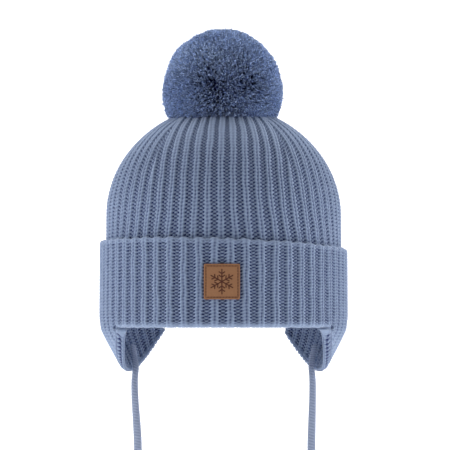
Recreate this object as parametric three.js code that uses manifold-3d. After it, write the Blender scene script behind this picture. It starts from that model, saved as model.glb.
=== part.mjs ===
// A toddler's tie-up wool hat: a ribbed crown, a turned-up cuff with a sewn patch, two ear flaps
// that end in ties, and a pompom.
// Millimetres, +Z up, the front faces -Y. The origin is the middle of the head opening at the rim.
import * as THREE from 'three';
import { mergeVertices } from 'three/addons/utils/BufferGeometryUtils.js';
import Module from 'manifold-3d';

const wasm = await Module();
wasm.setup();

// Knit
const knitThickness = 3.7;
const layerGap = 0.3;
const ribCount = 58;
const ribDepth = 1.5;
const ribCrestShare = 0.56;
const ribTurn = -0.9;

// Crown, measured over its rib crests
const crownWidth = 153;
const crownDepth = 165;
const crownHeight = 145;
const shoulderHeight = 73;
const domeExponent = 0.523;

// Cuff
const cuffHeight = 53.2;
const cuffTopTilt = 2.7;
const cuffRounding = 1.9;

// Ear flaps: angles are turned from the hat's side, negative towards the front
const flapDrop = 28;
const flapLean = 14.8;
const flapFrontAngle = -36;
const flapTipAngle = 11;
const flapRearAngle = 57;
const flapFrontPower = 2.2;
const flapRearPower = 1.95;
const flapFrontCurl = 4;
const flapThinning = 3;
const flapEdgeRadius = 3.4;
const flapCornerDrop = 1.2;

// Pompom
const pompomWidth = 77.4;
const pompomTallness = 79.3;
const pompomCentreHeight = 154.7;
const pompomShift = -0.7;
const lockCount = 110;
const lockHeight = 4.2;
const lockRootRadius = 7.2;
const lockTipRadius = 3.2;
const lockSides = 5;

// Patch
const patchSize = 21;
const patchThickness = 1.2;
const patchHeight = 27.2;
const patchShift = -0.9;

// Ties: a flat knitted cord, with a knot at its free end
const tieWidth = 4.8;
const tieThickness = 3;
const tieSides = 8;
const tieSteps = 16;
const knotWidth = 8;
const knotHeight = 7;
const knotSides = 8;

// The route of the left tie: from its sewn end on the flap's inside down to its free end
const tieRoute = [
  { x: -60.7, y: 27.0, z: -11.0 },
  { x: -60.2, y: 24.7, z: -14.0 },
  { x: -59.6, y: 22.3, z: -17.0 },
  { x: -58.9, y: 19.8, z: -20.0 },
  { x: -58.2, y: 17.4, z: -23.0 },
  { x: -57.9, y: 15.5, z: -26.0 },
  { x: -58.2, y: 14.2, z: -30.0 },
  { x: -58.5, y: 13.6, z: -35.0 },
  { x: -58.5, y: 13.2, z: -41.0 },
  { x: -58.4, y: 13.0, z: -47.0 },
  { x: -58.2, y: 12.9, z: -53.0 },
  { x: -58.0, y: 12.9, z: -59.0 },
  { x: -57.8, y: 12.9, z: -65.0 },
  { x: -57.6, y: 12.9, z: -71.0 },
  { x: -57.5, y: 13.0, z: -77.0 },
  { x: -57.4, y: 13.0, z: -84.0 },
];

const crownHalfWidth = crownWidth / 2;
const crownHalfDepth = crownDepth / 2;
const domeRise = crownHeight - shoulderHeight;
const cuffOffset = layerGap + knitThickness;
const degree = Math.PI / 180;

const wool = { color: 0x8292b6, roughness: 0.95, metalness: 0 };
const darkWool = { color: 0x536b9c, roughness: 1, metalness: 0 };
const leather = { color: 0x96683f, roughness: 0.7, metalness: 0 };

// A mesh is gathered as a list of points and a list of triangles.
class Body {
  constructor() {
    this.points = [];
    this.faces = [];
  }

  ring(points) {
    const first = this.points.length;
    this.points.push(...points);
    return points.map((point, index) => first + index);
  }

  // Joins two closed rings, where the count of one may be a multiple of the other or one point.
  join(lower, upper) {
    if (lower.length < upper.length) {
      this.bridge(upper, lower, true);
    } else {
      this.bridge(lower, upper, false);
    }
  }

  bridge(dense, sparse, flipped) {
    const ratio = dense.length / sparse.length;
    const turn = (a, b, c) => this.faces.push(flipped ? [a, c, b] : [a, b, c]);
    for (let i = 0; i < sparse.length; i += 1) {
      const here = sparse[i];
      const next = sparse[(i + 1) % sparse.length];
      const middle = sparse.length === 1 ? ratio : Math.floor(ratio / 2) + 1;
      for (let j = 0; j < ratio; j += 1) {
        const a = dense[i * ratio + j];
        const b = dense[(i * ratio + j + 1) % dense.length];
        if (j === middle - 1 && sparse.length > 1) {
          turn(here, a, b);
          turn(here, b, next);
        } else {
          turn(j < middle ? here : next, a, b);
        }
      }
    }
  }

  // Fills a closed loop of points with a strip across it, from its first half to its second.
  cap(loop, flipped) {
    let low = 0;
    let high = loop.length - 1;
    while (high - low > 1) {
      const face = [loop[low], loop[low + 1], loop[high]];
      this.faces.push(flipped ? face.reverse() : face);
      low += 1;
      if (high - low > 1) {
        const other = [loop[low], loop[high - 1], loop[high]];
        this.faces.push(flipped ? other.reverse() : other);
        high -= 1;
      }
    }
  }

  geometry() {
    const geometry = new THREE.BufferGeometry();
    const positions = this.points.flatMap((point) => [point.x, point.y, point.z]);
    geometry.setAttribute('position', new THREE.Float32BufferAttribute(positions, 3));
    geometry.setIndex(this.faces.flat());
    return geometry;
  }
}

// The angle round the oval at a share of its girth, which keeps the ribs evenly spaced.
function girthAngle(share) {
  const even = 2 * Math.PI * share;
  const stretch = (crownHalfDepth - crownHalfWidth) / (2 * (crownHalfDepth + crownHalfWidth));
  return even - stretch * Math.sin(2 * even);
}

// The share of the girth at the middle of a rib of the crown; rib 0 faces the front.
function ribShare(rib) {
  return -0.25 + ribTurn / 360 + rib / Math.round(ribCount);
}

// A point beside the crown's oval, moved out along the oval's normal by an offset.
function wallPoint(angle, offset, height, scale = 1) {
  const x = crownHalfWidth * scale * Math.cos(angle);
  const y = crownHalfDepth * scale * Math.sin(angle);
  const normal = new THREE.Vector2(Math.cos(angle) / crownHalfWidth, Math.sin(angle) / crownHalfDepth);
  normal.normalize();
  return new THREE.Vector3(x + offset * normal.x, y + offset * normal.y, height);
}

// Three columns for each rib: the two edges of its crest, then the bottom of the trough beside it.
function ribColumns(firstRib, lastRib, phase) {
  const columns = [];
  for (let rib = firstRib; rib < lastRib; rib += 1) {
    for (const side of [-1, 1]) {
      columns.push({ share: ribShare(rib + phase + side * ribCrestShare / 2), relief: 0 });
    }
    columns.push({ share: ribShare(rib + phase + 0.5), relief: -ribDepth });
  }
  return columns;
}

function plainColumns(phase) {
  const columns = [];
  for (let rib = 0; rib < Math.round(ribCount); rib += 1) {
    columns.push({ share: ribShare(rib + phase), relief: 0 });
  }
  return columns;
}

// The half oval of the dome at a height share: its width as a share of the crown's.
function domeScale(rise) {
  return Math.pow(Math.max(1 - rise * rise, 0), domeExponent);
}

// A ring of the crown, at a turn of the dome from 0 at the shoulder to 90 degrees at the apex.
function domeRing(columns, turn, wall, reliefShare) {
  const rise = Math.sin(turn * degree);
  const scale = domeScale(rise);
  return columns.map(({ share, relief }) => {
    const angle = girthAngle(share);
    const inward = wall - relief * reliefShare;
    const outward = wallPoint(angle, 0, 0, scale);
    const slope = new THREE.Vector3(outward.x / crownHalfWidth ** 2, outward.y / crownHalfDepth ** 2, 0);
    slope.z = rise / domeRise;
    slope.normalize();
    outward.z = shoulderHeight + rise * domeRise;
    return outward.addScaledVector(slope, -inward);
  });
}

function wallRing(columns, height, wall, reliefShare) {
  return columns.map(({ share, relief }) => {
    return wallPoint(girthAngle(share), relief * reliefShare - wall, height);
  });
}

// The turns of the dome at which the crown has a ring: the ribbed ones, the plain ones under the
// pompom, and those of the inside.
const ribbedTurns = [0, 13, 25, 36, 46, 55];
const hiddenTurns = [64, 74];
const innerTurns = [0, 20, 40, 58, 74];

function makeCrown() {
  const body = new Body();
  const ribs = ribColumns(0, Math.round(ribCount), 0);
  const plain = plainColumns(0);
  const foot = knitThickness + layerGap;
  const hiddenTop = cuffHeight - cuffTopTilt - knitThickness;
  const rings = [
    wallRing(plain, foot + layerGap, knitThickness, 0),
    wallRing(plain, foot, 0.5 * knitThickness, 0),
    wallRing(plain, foot + layerGap, 0, 0),
    wallRing(plain, hiddenTop, 0, 0),
    wallRing(ribs, cuffHeight - cuffTopTilt, 0, 1),
  ];
  for (const turn of ribbedTurns) {
    rings.push(domeRing(ribs, turn, 0, domeScale(Math.sin(turn * degree)) ** 0.5));
  }
  for (const turn of hiddenTurns) {
    rings.push(domeRing(plain, turn, 0, 0));
  }
  rings.push([new THREE.Vector3(0, 0, crownHeight)]);
  const inside = innerTurns.map((turn) => domeRing(plain, turn, knitThickness, 0));
  const placed = rings.map((ring) => body.ring(ring));
  for (let i = 0; i + 1 < placed.length; i += 1) {
    body.join(placed[i], placed[i + 1]);
  }
  const top = body.ring([new THREE.Vector3(0, 0, crownHeight - knitThickness)]);
  const placedInside = inside.map((ring) => body.ring(ring));
  body.join(top, placedInside[innerTurns.length - 1]);
  for (let i = innerTurns.length - 1; i > 0; i -= 1) {
    body.join(placedInside[i], placedInside[i - 1]);
  }
  body.join(placedInside[0], placed[0]);
  return body.geometry();
}

// The cuff's top edge, a little higher at the left side than at the right.
function cuffTop(angle) {
  return cuffHeight - cuffTopTilt * Math.cos(angle);
}

// The cuff's section: the fold passes under the crown's edge, then the cuff stands up outside it.
// Out is the offset from the crown, up is the height, and top counts down from the top edge.
const cuffSection = [
  { out: -knitThickness, up: cuffRounding, ribbed: false },
  { out: cuffRounding - knitThickness, up: 0, ribbed: false },
  { out: cuffOffset - cuffRounding, up: 0, ribbed: true },
  { out: cuffOffset, up: 1.5 * cuffRounding, ribbed: true },
  { out: cuffOffset, top: 2 * cuffRounding, ribbed: true },
  { out: cuffOffset - cuffRounding, top: 0, ribbed: true },
  { out: layerGap, top: cuffRounding, ribbed: false },
  { out: layerGap, up: knitThickness, ribbed: false },
  { out: -knitThickness, up: knitThickness, ribbed: false },
];

function makeCuff() {
  const body = new Body();
  const ribs = ribColumns(0, Math.round(ribCount), 0.5);
  const plain = plainColumns(0.5);
  const placed = cuffSection.map((corner) => {
    const columns = corner.ribbed ? ribs : plain;
    return body.ring(columns.map(({ share, relief }) => {
      const angle = girthAngle(share);
      const height = corner.top === undefined ? corner.up : cuffTop(angle) - corner.top;
      return wallPoint(angle, corner.out + relief, height);
    }));
  });
  placed.forEach((ring, index) => body.join(ring, placed[(index + 1) % placed.length]));
  return body.geometry();
}

// How far the flap reaches below the rim at an angle from the hat's side, in degrees.
function flapReach(angle) {
  const corner = angle < flapTipAngle ? flapFrontAngle : flapRearAngle;
  const power = angle < flapTipAngle ? flapFrontPower : flapRearPower;
  const across = Math.min((angle - flapTipAngle) / (corner - flapTipAngle), 1);
  return flapCornerDrop + (flapDrop - flapCornerDrop) * (1 - Math.pow(across, power));
}

// How far the flap leans in at a depth below the rim; its front edge curls in further.
function flapInward(angle, depth) {
  const front = Math.max((flapTipAngle - angle) / (flapTipAngle - flapFrontAngle), 0);
  return (flapLean + flapFrontCurl * front ** 2) * depth / flapDrop;
}

// The flap's section: down its outer face, round its lower edge and up its inner face.
// Down is a share of the reach above the rounded edge, and face runs from outside to inside.
const flapSection = [
  { down: 0, face: 1 },
  { down: 0.5, face: 1 },
  { down: 1, face: 1 },
  { down: 1, face: 0.6, edge: 0.8 },
  { down: 1, face: -0.6, edge: 0.8 },
  { down: 1, face: -1 },
  { down: 0.5, face: -1 },
  { down: 0, face: -1 },
];

// The rib of the cuff nearest to an angle round the oval, counted from the front.
function cuffRibAt(angle) {
  return Math.round(Math.round(ribCount) * (angle + 90 - ribTurn) / 360 - 0.5);
}

// The left flap hangs at the -X side, where the angle round the oval falls towards the back.
function makeFlap(side) {
  const body = new Body();
  const halfThickness = knitThickness + layerGap / 2;
  const isLeft = side === 'left';
  const firstRib = cuffRibAt(isLeft ? 180 - flapRearAngle : flapFrontAngle);
  const lastRib = cuffRibAt(isLeft ? 180 - flapFrontAngle : flapRearAngle);
  const loops = ribColumns(firstRib, lastRib, 0.5).map(({ share, relief }) => {
    const angle = girthAngle(share);
    const turn = isLeft ? 180 - angle / degree : angle / degree;
    const reach = flapReach(turn);
    const edge = Math.min(flapEdgeRadius, reach / 2);
    return body.ring(flapSection.map((corner) => {
      const depth = (reach - edge) * corner.down + edge * (corner.edge ?? 0);
      const half = halfThickness + relief * corner.down;
      const thinned = corner.face < 0 ? flapThinning * depth / flapDrop : 0;
      const offset = layerGap / 2 + half * corner.face + thinned - flapInward(turn, depth);
      return wallPoint(angle, offset, -layerGap - depth);
    }));
  });
  for (let i = 0; i + 1 < loops.length; i += 1) {
    body.bridge(loops[i], loops[i + 1], false);
  }
  body.cap(loops[0], true);
  body.cap(loops[loops.length - 1], false);
  return body.geometry();
}

function toManifold(geometry) {
  const bare = geometry.clone();
  bare.deleteAttribute('normal');
  bare.deleteAttribute('uv');
  const merged = mergeVertices(bare, 1e-4);
  return new wasm.Manifold(new wasm.Mesh({
    numProp: 3,
    vertProperties: new Float32Array(merged.attributes.position.array),
    triVerts: new Uint32Array(merged.index.array),
  }));
}

function fromManifold(solid) {
  const mesh = solid.getMesh();
  const geometry = new THREE.BufferGeometry();
  geometry.setAttribute('position', new THREE.BufferAttribute(mesh.vertProperties, 3));
  geometry.setIndex(new THREE.BufferAttribute(mesh.triVerts, 1));
  return geometry;
}

// The crown's dome as a solid, grown by the gap, which hollows the pompom's underside.
function makePompomSeat() {
  const body = new Body();
  const plain = plainColumns(0);
  const rings = [...ribbedTurns, ...hiddenTurns].map((turn) => domeRing(plain, turn, -layerGap, 0));
  const placed = rings.map((ring) => body.ring(ring));
  body.join(body.ring([new THREE.Vector3(0, 0, rings[0][0].z)]), placed[0]);
  for (let i = 0; i + 1 < placed.length; i += 1) {
    body.join(placed[i], placed[i + 1]);
  }
  body.join(placed[placed.length - 1], body.ring([new THREE.Vector3(0, 0, crownHeight + layerGap)]));
  return body.geometry();
}

// One lock of cut yarn, standing out from the middle of the pompom along a direction.
function makeLock(way, twist) {
  const length = 2 * lockHeight;
  const lock = new THREE.CylinderGeometry(lockTipRadius, lockRootRadius, length, lockSides);
  lock.rotateY(twist);
  lock.translate(0, pompomWidth / 2 - length / 2, 0);
  const up = new THREE.Vector3(0, 1, 0);
  lock.applyQuaternion(new THREE.Quaternion().setFromUnitVectors(up, way));
  return lock;
}

// A ball of cut yarn: locks spread evenly over a round head and fused to it.
function makePompom() {
  let ball = toManifold(new THREE.IcosahedronGeometry(pompomWidth / 2 - lockHeight, 2));
  const golden = Math.PI * (3 - Math.sqrt(5));
  const count = Math.round(lockCount);
  for (let i = 0; i < count; i += 1) {
    const height = 1 - (2 * i + 1) / count;
    const girth = Math.sqrt(1 - height * height);
    const way = new THREE.Vector3(girth * Math.cos(golden * i), girth * Math.sin(golden * i), height);
    ball = ball.add(toManifold(makeLock(way, golden * i)));
  }
  ball = ball.scale([1, 1, pompomTallness / pompomWidth]);
  ball = ball.translate([pompomShift, 0, pompomCentreHeight]);
  return fromManifold(ball.subtract(toManifold(makePompomSeat())));
}

// A square of leather bent round the front of the cuff.
function makePatch() {
  const body = new Body();
  const inner = cuffOffset + layerGap;
  const steps = 4;
  const loops = [];
  for (let i = 0; i <= steps; i += 1) {
    const across = patchShift + patchSize * (i / steps - 0.5);
    const angle = -Math.PI / 2 + Math.asin(across / (crownHalfWidth + inner));
    loops.push(body.ring([
      wallPoint(angle, inner, patchHeight - patchSize / 2),
      wallPoint(angle, inner, patchHeight + patchSize / 2),
      wallPoint(angle, inner + patchThickness, patchHeight + patchSize / 2),
      wallPoint(angle, inner + patchThickness, patchHeight - patchSize / 2),
    ]));
  }
  for (let i = 0; i < steps; i += 1) {
    body.bridge(loops[i], loops[i + 1], false);
  }
  body.cap(loops[0], true);
  body.cap(loops[steps], false);
  return body.geometry();
}

function tieCurve(mirror) {
  return new THREE.CatmullRomCurve3(tieRoute.map(({ x, y, z }) => new THREE.Vector3(x * mirror, y, z)));
}

function makeTie(mirror) {
  const section = new THREE.Shape();
  for (let i = 0; i < tieSides; i += 1) {
    const turn = 2 * Math.PI * (i + 0.5) / tieSides;
    const place = [0.5 * tieWidth * Math.cos(turn), 0.5 * tieThickness * Math.sin(turn)];
    if (i === 0) {
      section.moveTo(...place);
    } else {
      section.lineTo(...place);
    }
  }
  section.closePath();
  return new THREE.ExtrudeGeometry(section, { steps: tieSteps, extrudePath: tieCurve(mirror) });
}

// A plain overhand knot's outer form, a ball a little wider than it is high.
function makeKnot(mirror) {
  const knot = new THREE.SphereGeometry(0.5, knotSides, knotSides - 2);
  knot.scale(knotWidth, knotWidth, knotHeight);
  const end = tieCurve(mirror).getPoint(1);
  knot.translate(end.x, end.y, end.z - 0.5 * knotHeight - layerGap);
  return knot;
}

function node(name, geometry, finish) {
  const mesh = new THREE.Mesh(geometry, new THREE.MeshStandardMaterial(finish));
  mesh.name = name;
  return mesh;
}

const hat = new THREE.Group();
hat.add(node('crown', makeCrown(), wool));
hat.add(node('cuff', makeCuff(), wool));
hat.add(node('pompom', makePompom(), darkWool));
hat.add(node('patch', makePatch(), leather));
for (const [side, mirror] of [['left', 1], ['right', -1]]) {
  hat.add(node(`ear_flap_${side}`, makeFlap(side), wool));
  hat.add(node(`tie_${side}`, makeTie(mirror), wool));
  hat.add(node(`tie_knot_${side}`, makeKnot(mirror), wool));
}

export default hat;
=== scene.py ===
"""A toddler's tie-up wool hat: rib-knitted crown, turned-up cuff, ear flaps with ties, and a pompom.

Metres, +Z up, the front faces -Y. The origin is the middle of the head opening at the rim.
"""

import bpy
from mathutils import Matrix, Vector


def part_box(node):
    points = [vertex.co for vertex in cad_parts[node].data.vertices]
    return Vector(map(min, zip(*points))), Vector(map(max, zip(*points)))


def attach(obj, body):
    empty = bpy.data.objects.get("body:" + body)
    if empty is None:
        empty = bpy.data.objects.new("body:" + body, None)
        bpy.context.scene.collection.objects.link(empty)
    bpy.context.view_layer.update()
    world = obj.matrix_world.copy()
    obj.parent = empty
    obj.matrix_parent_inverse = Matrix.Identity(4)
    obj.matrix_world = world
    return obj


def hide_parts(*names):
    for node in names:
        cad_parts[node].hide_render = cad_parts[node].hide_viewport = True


bl_info = {
    "name": "Tie-up wool hat",
    "version": (1, 0, 0),
    "blender": (4, 5, 0),
    "location": "3D Viewport > Sidebar > Hat",
    "description": "Knits the hat's surfaces and makes its pompom, patch and ties",
    "category": "Add Mesh",
}

import math

import bpy
import numpy as np
from bpy.props import FloatProperty, FloatVectorProperty, IntProperty, PointerProperty

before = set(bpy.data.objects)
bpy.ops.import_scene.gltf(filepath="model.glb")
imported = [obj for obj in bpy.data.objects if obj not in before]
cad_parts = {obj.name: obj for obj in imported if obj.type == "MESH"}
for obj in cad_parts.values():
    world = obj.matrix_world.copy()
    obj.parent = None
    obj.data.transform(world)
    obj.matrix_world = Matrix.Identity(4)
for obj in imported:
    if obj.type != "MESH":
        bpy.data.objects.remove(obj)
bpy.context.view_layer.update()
MM = 0.001

# Crown: an oval dome over an upright wall
HALF_WIDTH = 76.5 * MM
HALF_DEPTH = 82.5 * MM
CROWN_HEIGHT = 145 * MM
SHOULDER_HEIGHT = 73 * MM
DOME_RISE = CROWN_HEIGHT - SHOULDER_HEIGHT
DOME_EXPONENT = 0.523
WALL_THICKNESS = 3.7 * MM
LAYER_GAP = 0.3 * MM

# Ribs are counted from the front; the crests of the cuff and flaps stand half a rib beside the crown's
RIB_COUNT = 58
RIB_TURN = -0.9
HALF_COUNT = RIB_COUNT / 2
CREST_SHARE = 0.21

# The ribs between which the crown's five sections lie, and the angles up the dome of the last row of
# stitches and of the coarse rings above it
SECTION_EDGES = np.array([-6, 6, 17.5, 29, 40.5, 52])
DOME_RINGS = np.radians([67, 74, 82])

# How much deeper the stitches lie at the hat's sides, and how much darker their painted shade is there
SIDE_DEPTH_AND_SHADE = 0.3

# Cuff and flaps
CUFF_OFFSET = LAYER_GAP + WALL_THICKNESS
CUFF_HEIGHT = 53.2 * MM
FOLD = (CUFF_OFFSET + WALL_THICKNESS) / 2
CUFF_TOP_TILT = 2.7 * MM
FOLD_ROWS = 6
FLAP_DROP = 28 * MM
FLAP_LEAN = {"left": 15.6 * MM, "right": 14.8 * MM}
FLAP_FRONT_ANGLE = -36
FLAP_TIP_ANGLE = 11
FLAP_REAR_ANGLE = 57
FLAP_FRONT_POWER = 2.2
FLAP_REAR_POWER = 2.15
FLAP_FRONT_CURL = 4 * MM
FLAP_THINNING = 3 * MM
FLAP_EDGE = 3.4 * MM
FLAP_CORNER_DROP = 1.2 * MM
HEM_REACH = 4.8 * MM
HEM_STITCH = 4.4 * MM

# Pompom and patch
POMPOM_CENTRE = (-0.7 * MM, 0, 154.7 * MM)
PATCH_HEIGHT = 27.2 * MM
PATCH_SHIFT = -0.9 * MM
PATCH_RINGS = 46

# How far out of the pompom's middle the crown is looked for, and the least reach of a yarn end
RAY_LENGTH = 66 * MM
LEAST_REACH = 31 * MM

# The left tie's route, from its sewn end on the flap's inside down to its free end, in millimetres
TIE_ROUTE = [
    (-60.7, 27.0, -11.0), (-60.2, 24.7, -14.0), (-59.6, 22.3, -17.0), (-58.9, 19.8, -20.0),
    (-58.2, 17.4, -23.0), (-57.9, 15.5, -26.0), (-58.2, 14.2, -30.0), (-58.5, 13.6, -35.0),
    (-58.5, 13.2, -41.0), (-58.4, 13.0, -47.0), (-58.2, 12.9, -53.0), (-58.0, 12.9, -59.0),
    (-57.8, 12.9, -65.0), (-57.6, 12.9, -71.0), (-57.5, 13.0, -77.0), (-57.4, 13.0, -84.0),
]
TIE_POINTS = 165
TIE_AROUND = 20

# The left tie's free end hangs a little nearer to the middle than the right one's
LEFT_TIE_DRIFT = 1.3 * MM

# Camera, level with the rim, and the soft lights: place, width and power
CAMERA_PLACE = (0.9 * MM, -0.9, 0)
CAMERA_TILT = 4.26
CAMERA_LENS = 110.5
FLOOR_HEIGHT = -0.17
LIGHTS = {
    "left": ((-1.15, -0.2, 0.3), 0.8, 6.8),
    "right": ((1.15, -0.2, 0.3), 0.8, 6),
    "front": ((-0.3, -1.3, 0.5), 0.8, 0.6),
    "rim_left": ((-1.1, 0.55, 0.15), 0.8, 3),
    "rim_right": ((1.1, 0.55, 0.15), 0.8, 3.6),
    "top": ((0, 0.15, 1.15), 0.8, 5),
    "wall": ((0, 0.5, 1.3), 1.2, 15),
}
LIGHT_TARGET = (0, 0, 0.06)
WALL_TARGET = (0, 1.6, 0.3)


def size(name, text, value, **more):
    """A length in metres that a user can change."""
    return FloatProperty(name=name, description=text, default=value, unit="LENGTH", precision=5, **more)


def colour(name, text, value):
    """A colour that a user can change, given as the eye sees it from 0 to 255."""
    share = np.array(value) / 255
    linear = np.where(share <= 0.04045, share / 12.92, ((share + 0.055) / 1.055) ** 2.4)
    return FloatVectorProperty(name=name, description=text, default=tuple(linear), subtype="COLOR",
                               min=0, max=1)


class HatKnit(bpy.types.PropertyGroup):
    """The knitted fabric of the crown, cuff and flaps."""

    crown_row: size("Crown row", "Height of a row of stitches on the crown", 2.27 * MM)
    cuff_row: size("Cuff row", "Height of a row of stitches on the cuff and flaps", 1.94 * MM)
    rib_depth: size("Rib depth", "Depth of the furrows between the ribs", 1.35 * MM)
    bump_height: size("Bump height", "Height of the purl bumps in the furrows", 0.9 * MM)
    hole_depth: size("Hole depth", "Depth of the gaps between the purl bumps", 0.75 * MM)
    leg_height: size("Leg height", "Height of the legs of the knit stitches", 0.11 * MM)
    line_depth: size("Line depth", "Depth of the line between the two wales of a rib", 0.42 * MM)
    columns: IntProperty(name="Columns", description="Points across each rib", default=16, min=8)
    samples: IntProperty(name="Samples", description="Points along each stitch", default=4, min=2)


class HatPompom(bpy.types.PropertyGroup):
    """The ball of cut yarn."""

    tufts: IntProperty(name="Tufts", description="Count of the yarn ends", default=44000, min=100)
    fibres: IntProperty(name="Fibres", description="Count of the stray fibres", default=9000, min=10)
    seed: IntProperty(name="Seed", description="Start of the random draws", default=7)
    radius: size("Radius", "Half the width of the ball", 38.6 * MM)
    tallness: FloatProperty(name="Tallness", description="Height over width", default=1.02)
    # The head is coloured dark as painted shade under the yarn ends
    head: size("Head", "Radius of the dark head under the yarn ends", 33 * MM)
    yarn: size("Yarn", "Radius of a yarn end", 0.34 * MM)
    fringe: size("Fringe", "How far the lowest yarn hangs over the crown, front and back", 19 * MM)


class HatTies(bpy.types.PropertyGroup):
    """The flat knitted cords."""

    width: size("Width", "Width of the flat cord", 4.8 * MM)
    thickness: size("Thickness", "Thickness of the flat cord", 2.6 * MM)
    row: size("Row", "Height of a row of stitches on the cord", 1.9 * MM)
    relief: size("Relief", "Height of the rows on the cord", 0.24 * MM)


class HatPatch(bpy.types.PropertyGroup):
    """The leather patch on the cuff."""

    width: size("Width", "Length of each side", 21 * MM)
    thickness: size("Thickness", "Thickness of the leather", 1.2 * MM)
    border: size("Border", "Distance of the seam from the edge", 1.3 * MM)
    stitch: size("Stitch", "Length of a stitch and the gap after it", 1.75 * MM)
    line: size("Line", "Width of the burned lines", 0.62 * MM)
    depth: size("Depth", "Depth of the burned lines", 0.16 * MM)


class HatColours(bpy.types.PropertyGroup):
    """The colours, as the materials start out."""

    wool: colour("Wool", "Crests of the knit", (151, 168, 197))
    # Painted shade: the colour that the gaps between the stitches are darkened toward
    hollow: colour("Hollow", "Gaps between the stitches", (6, 27, 90))
    yarn_tip: colour("Yarn tip", "Cut ends of the pompom's yarn", (197, 218, 251))
    # Painted shade: the colour the yarn darkens toward deep in the pompom and on its cut end caps
    yarn_root_shade: colour("Yarn root", "Depth of the pompom", (0, 10, 92))
    fibre: colour("Fibre", "Stray fibres of the pompom", (148, 173, 220))
    cord: colour("Cord", "Ties", (172, 184, 209))
    leather: colour("Leather", "Patch", (158, 112, 78))
    burn: colour("Burn", "Burned lines on the patch", (74, 34, 16))


def smooth(low, high, value):
    """Eases from 0 at the low edge to 1 at the high one, which may be the smaller number."""
    share = np.clip((value - low) / (high - low), 0, 1)
    return share * share * (3 - 2 * share)


def bell(value, width):
    """A bell curve, 1 at zero and about a third at the width."""
    return np.exp(-((value / width) ** 2))


def wave(turns):
    """A wave of even length, 1 at each whole number."""
    return np.cos(2 * np.pi * turns)


def positive(value):
    """The value where it is above zero, else zero."""
    return np.clip(value, 0, None)


def unit(vectors):
    """The vectors, each one unit long."""
    return vectors / np.linalg.norm(vectors, axis=-1, keepdims=True)


def grid_of(x, y, z):
    """A grid of points from their three coordinates, of which any may be given once for all."""
    return np.stack(np.broadcast_arrays(x, y, z), -1)


def full_turn(count):
    """Angles spread evenly round a whole turn."""
    return np.linspace(0, 2 * np.pi, count, endpoint=False)


def lengths_along(path):
    """The length of a path up to each of its points."""
    return np.concatenate([[0], np.cumsum(np.linalg.norm(np.diff(path, axis=0), axis=1))])


def scatter(first, second):
    """A fixed number from 0 to 1 for each pair of whole numbers: the tail of a large sine."""
    tail = np.sin(first * 12.9898 + second * 78.233) * 43758.5453
    return tail - np.floor(tail)


def girth_angle(share):
    """The angle round the oval at a share of its girth: an even turn less a small sine of twice it."""
    even = 2 * np.pi * share
    stretch = (HALF_DEPTH - HALF_WIDTH) / (2 * (HALF_DEPTH + HALF_WIDTH))
    return even - stretch * np.sin(2 * even)


def rib_angle(rib):
    """The angle round the oval at a rib of the crown, counted from the front."""
    return girth_angle(-0.25 + RIB_TURN / 360 + rib / RIB_COUNT)


def beside_oval(angle, offset, height):
    """Points beside the crown's oval: a point of the oval, moved out along its level normal."""
    away = unit(np.stack([np.cos(angle) / HALF_WIDTH, np.sin(angle) / HALF_DEPTH], -1))
    x = HALF_WIDTH * np.cos(angle) + offset * away[..., 0]
    y = HALF_DEPTH * np.sin(angle) + offset * away[..., 1]
    return grid_of(x, y, height)


def dome_scale(rise):
    """The width of the dome at a share of its rise: a half oval with blunter shoulders."""
    return positive(1 - rise**2) ** DOME_EXPONENT


def on_dome(angle, rise, wall_height, inward):
    """Points of the crown: on the wall where the rise is 0, else on the dome, and moved in by a
    distance along the normal, which leans up as the dome closes."""
    scale = dome_scale(rise)
    x = HALF_WIDTH * scale * np.cos(angle)
    y = HALF_DEPTH * scale * np.sin(angle)
    z = np.where(rise > 0, SHOULDER_HEIGHT + rise * DOME_RISE, wall_height)
    lean = unit(grid_of(x / HALF_WIDTH**2, y / HALF_DEPTH**2, rise / DOME_RISE))
    return grid_of(x, y, z) - np.asarray(inward)[..., None] * lean


def grid_normals(points):
    """The normal at each point of a grid: the cross product of its two directions."""
    normal = np.cross(np.gradient(points, axis=1), np.gradient(points, axis=0))
    return normal / np.maximum(np.linalg.norm(normal, axis=-1, keepdims=True), 1e-12)


def grid_faces(rows, columns, wrap=False):
    """The four-sided faces of a grid of points, whose columns may close on themselves."""
    index = np.arange(rows * columns).reshape(rows, columns)
    if wrap:
        index = np.concatenate([index, index[:, :1]], 1)
    corners = [index[:-1, :-1], index[:-1, 1:], index[1:, 1:], index[1:, :-1]]
    return np.stack(corners, -1).reshape(-1, 4)


def fan_faces(ring, pole, outward):
    """The three-sided faces from a ring of point numbers to a pole."""
    pairs = np.stack([ring, np.roll(ring, -1)], -1)
    if not outward:
        pairs = pairs[:, ::-1]
    return np.concatenate([pairs, np.full((len(ring), 1), pole)], 1)


def closed_faces(rows, around, outward):
    """The faces of rings of points that close in a pole before the first and one after the last."""
    first = np.arange(around)
    end = rows * around
    faces = [grid_faces(rows, around, wrap=True), fan_faces(first, end, False),
             fan_faces(first + end - around, end + 1, True)]
    return faces if outward else [group[:, ::-1] for group in faces]


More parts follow.
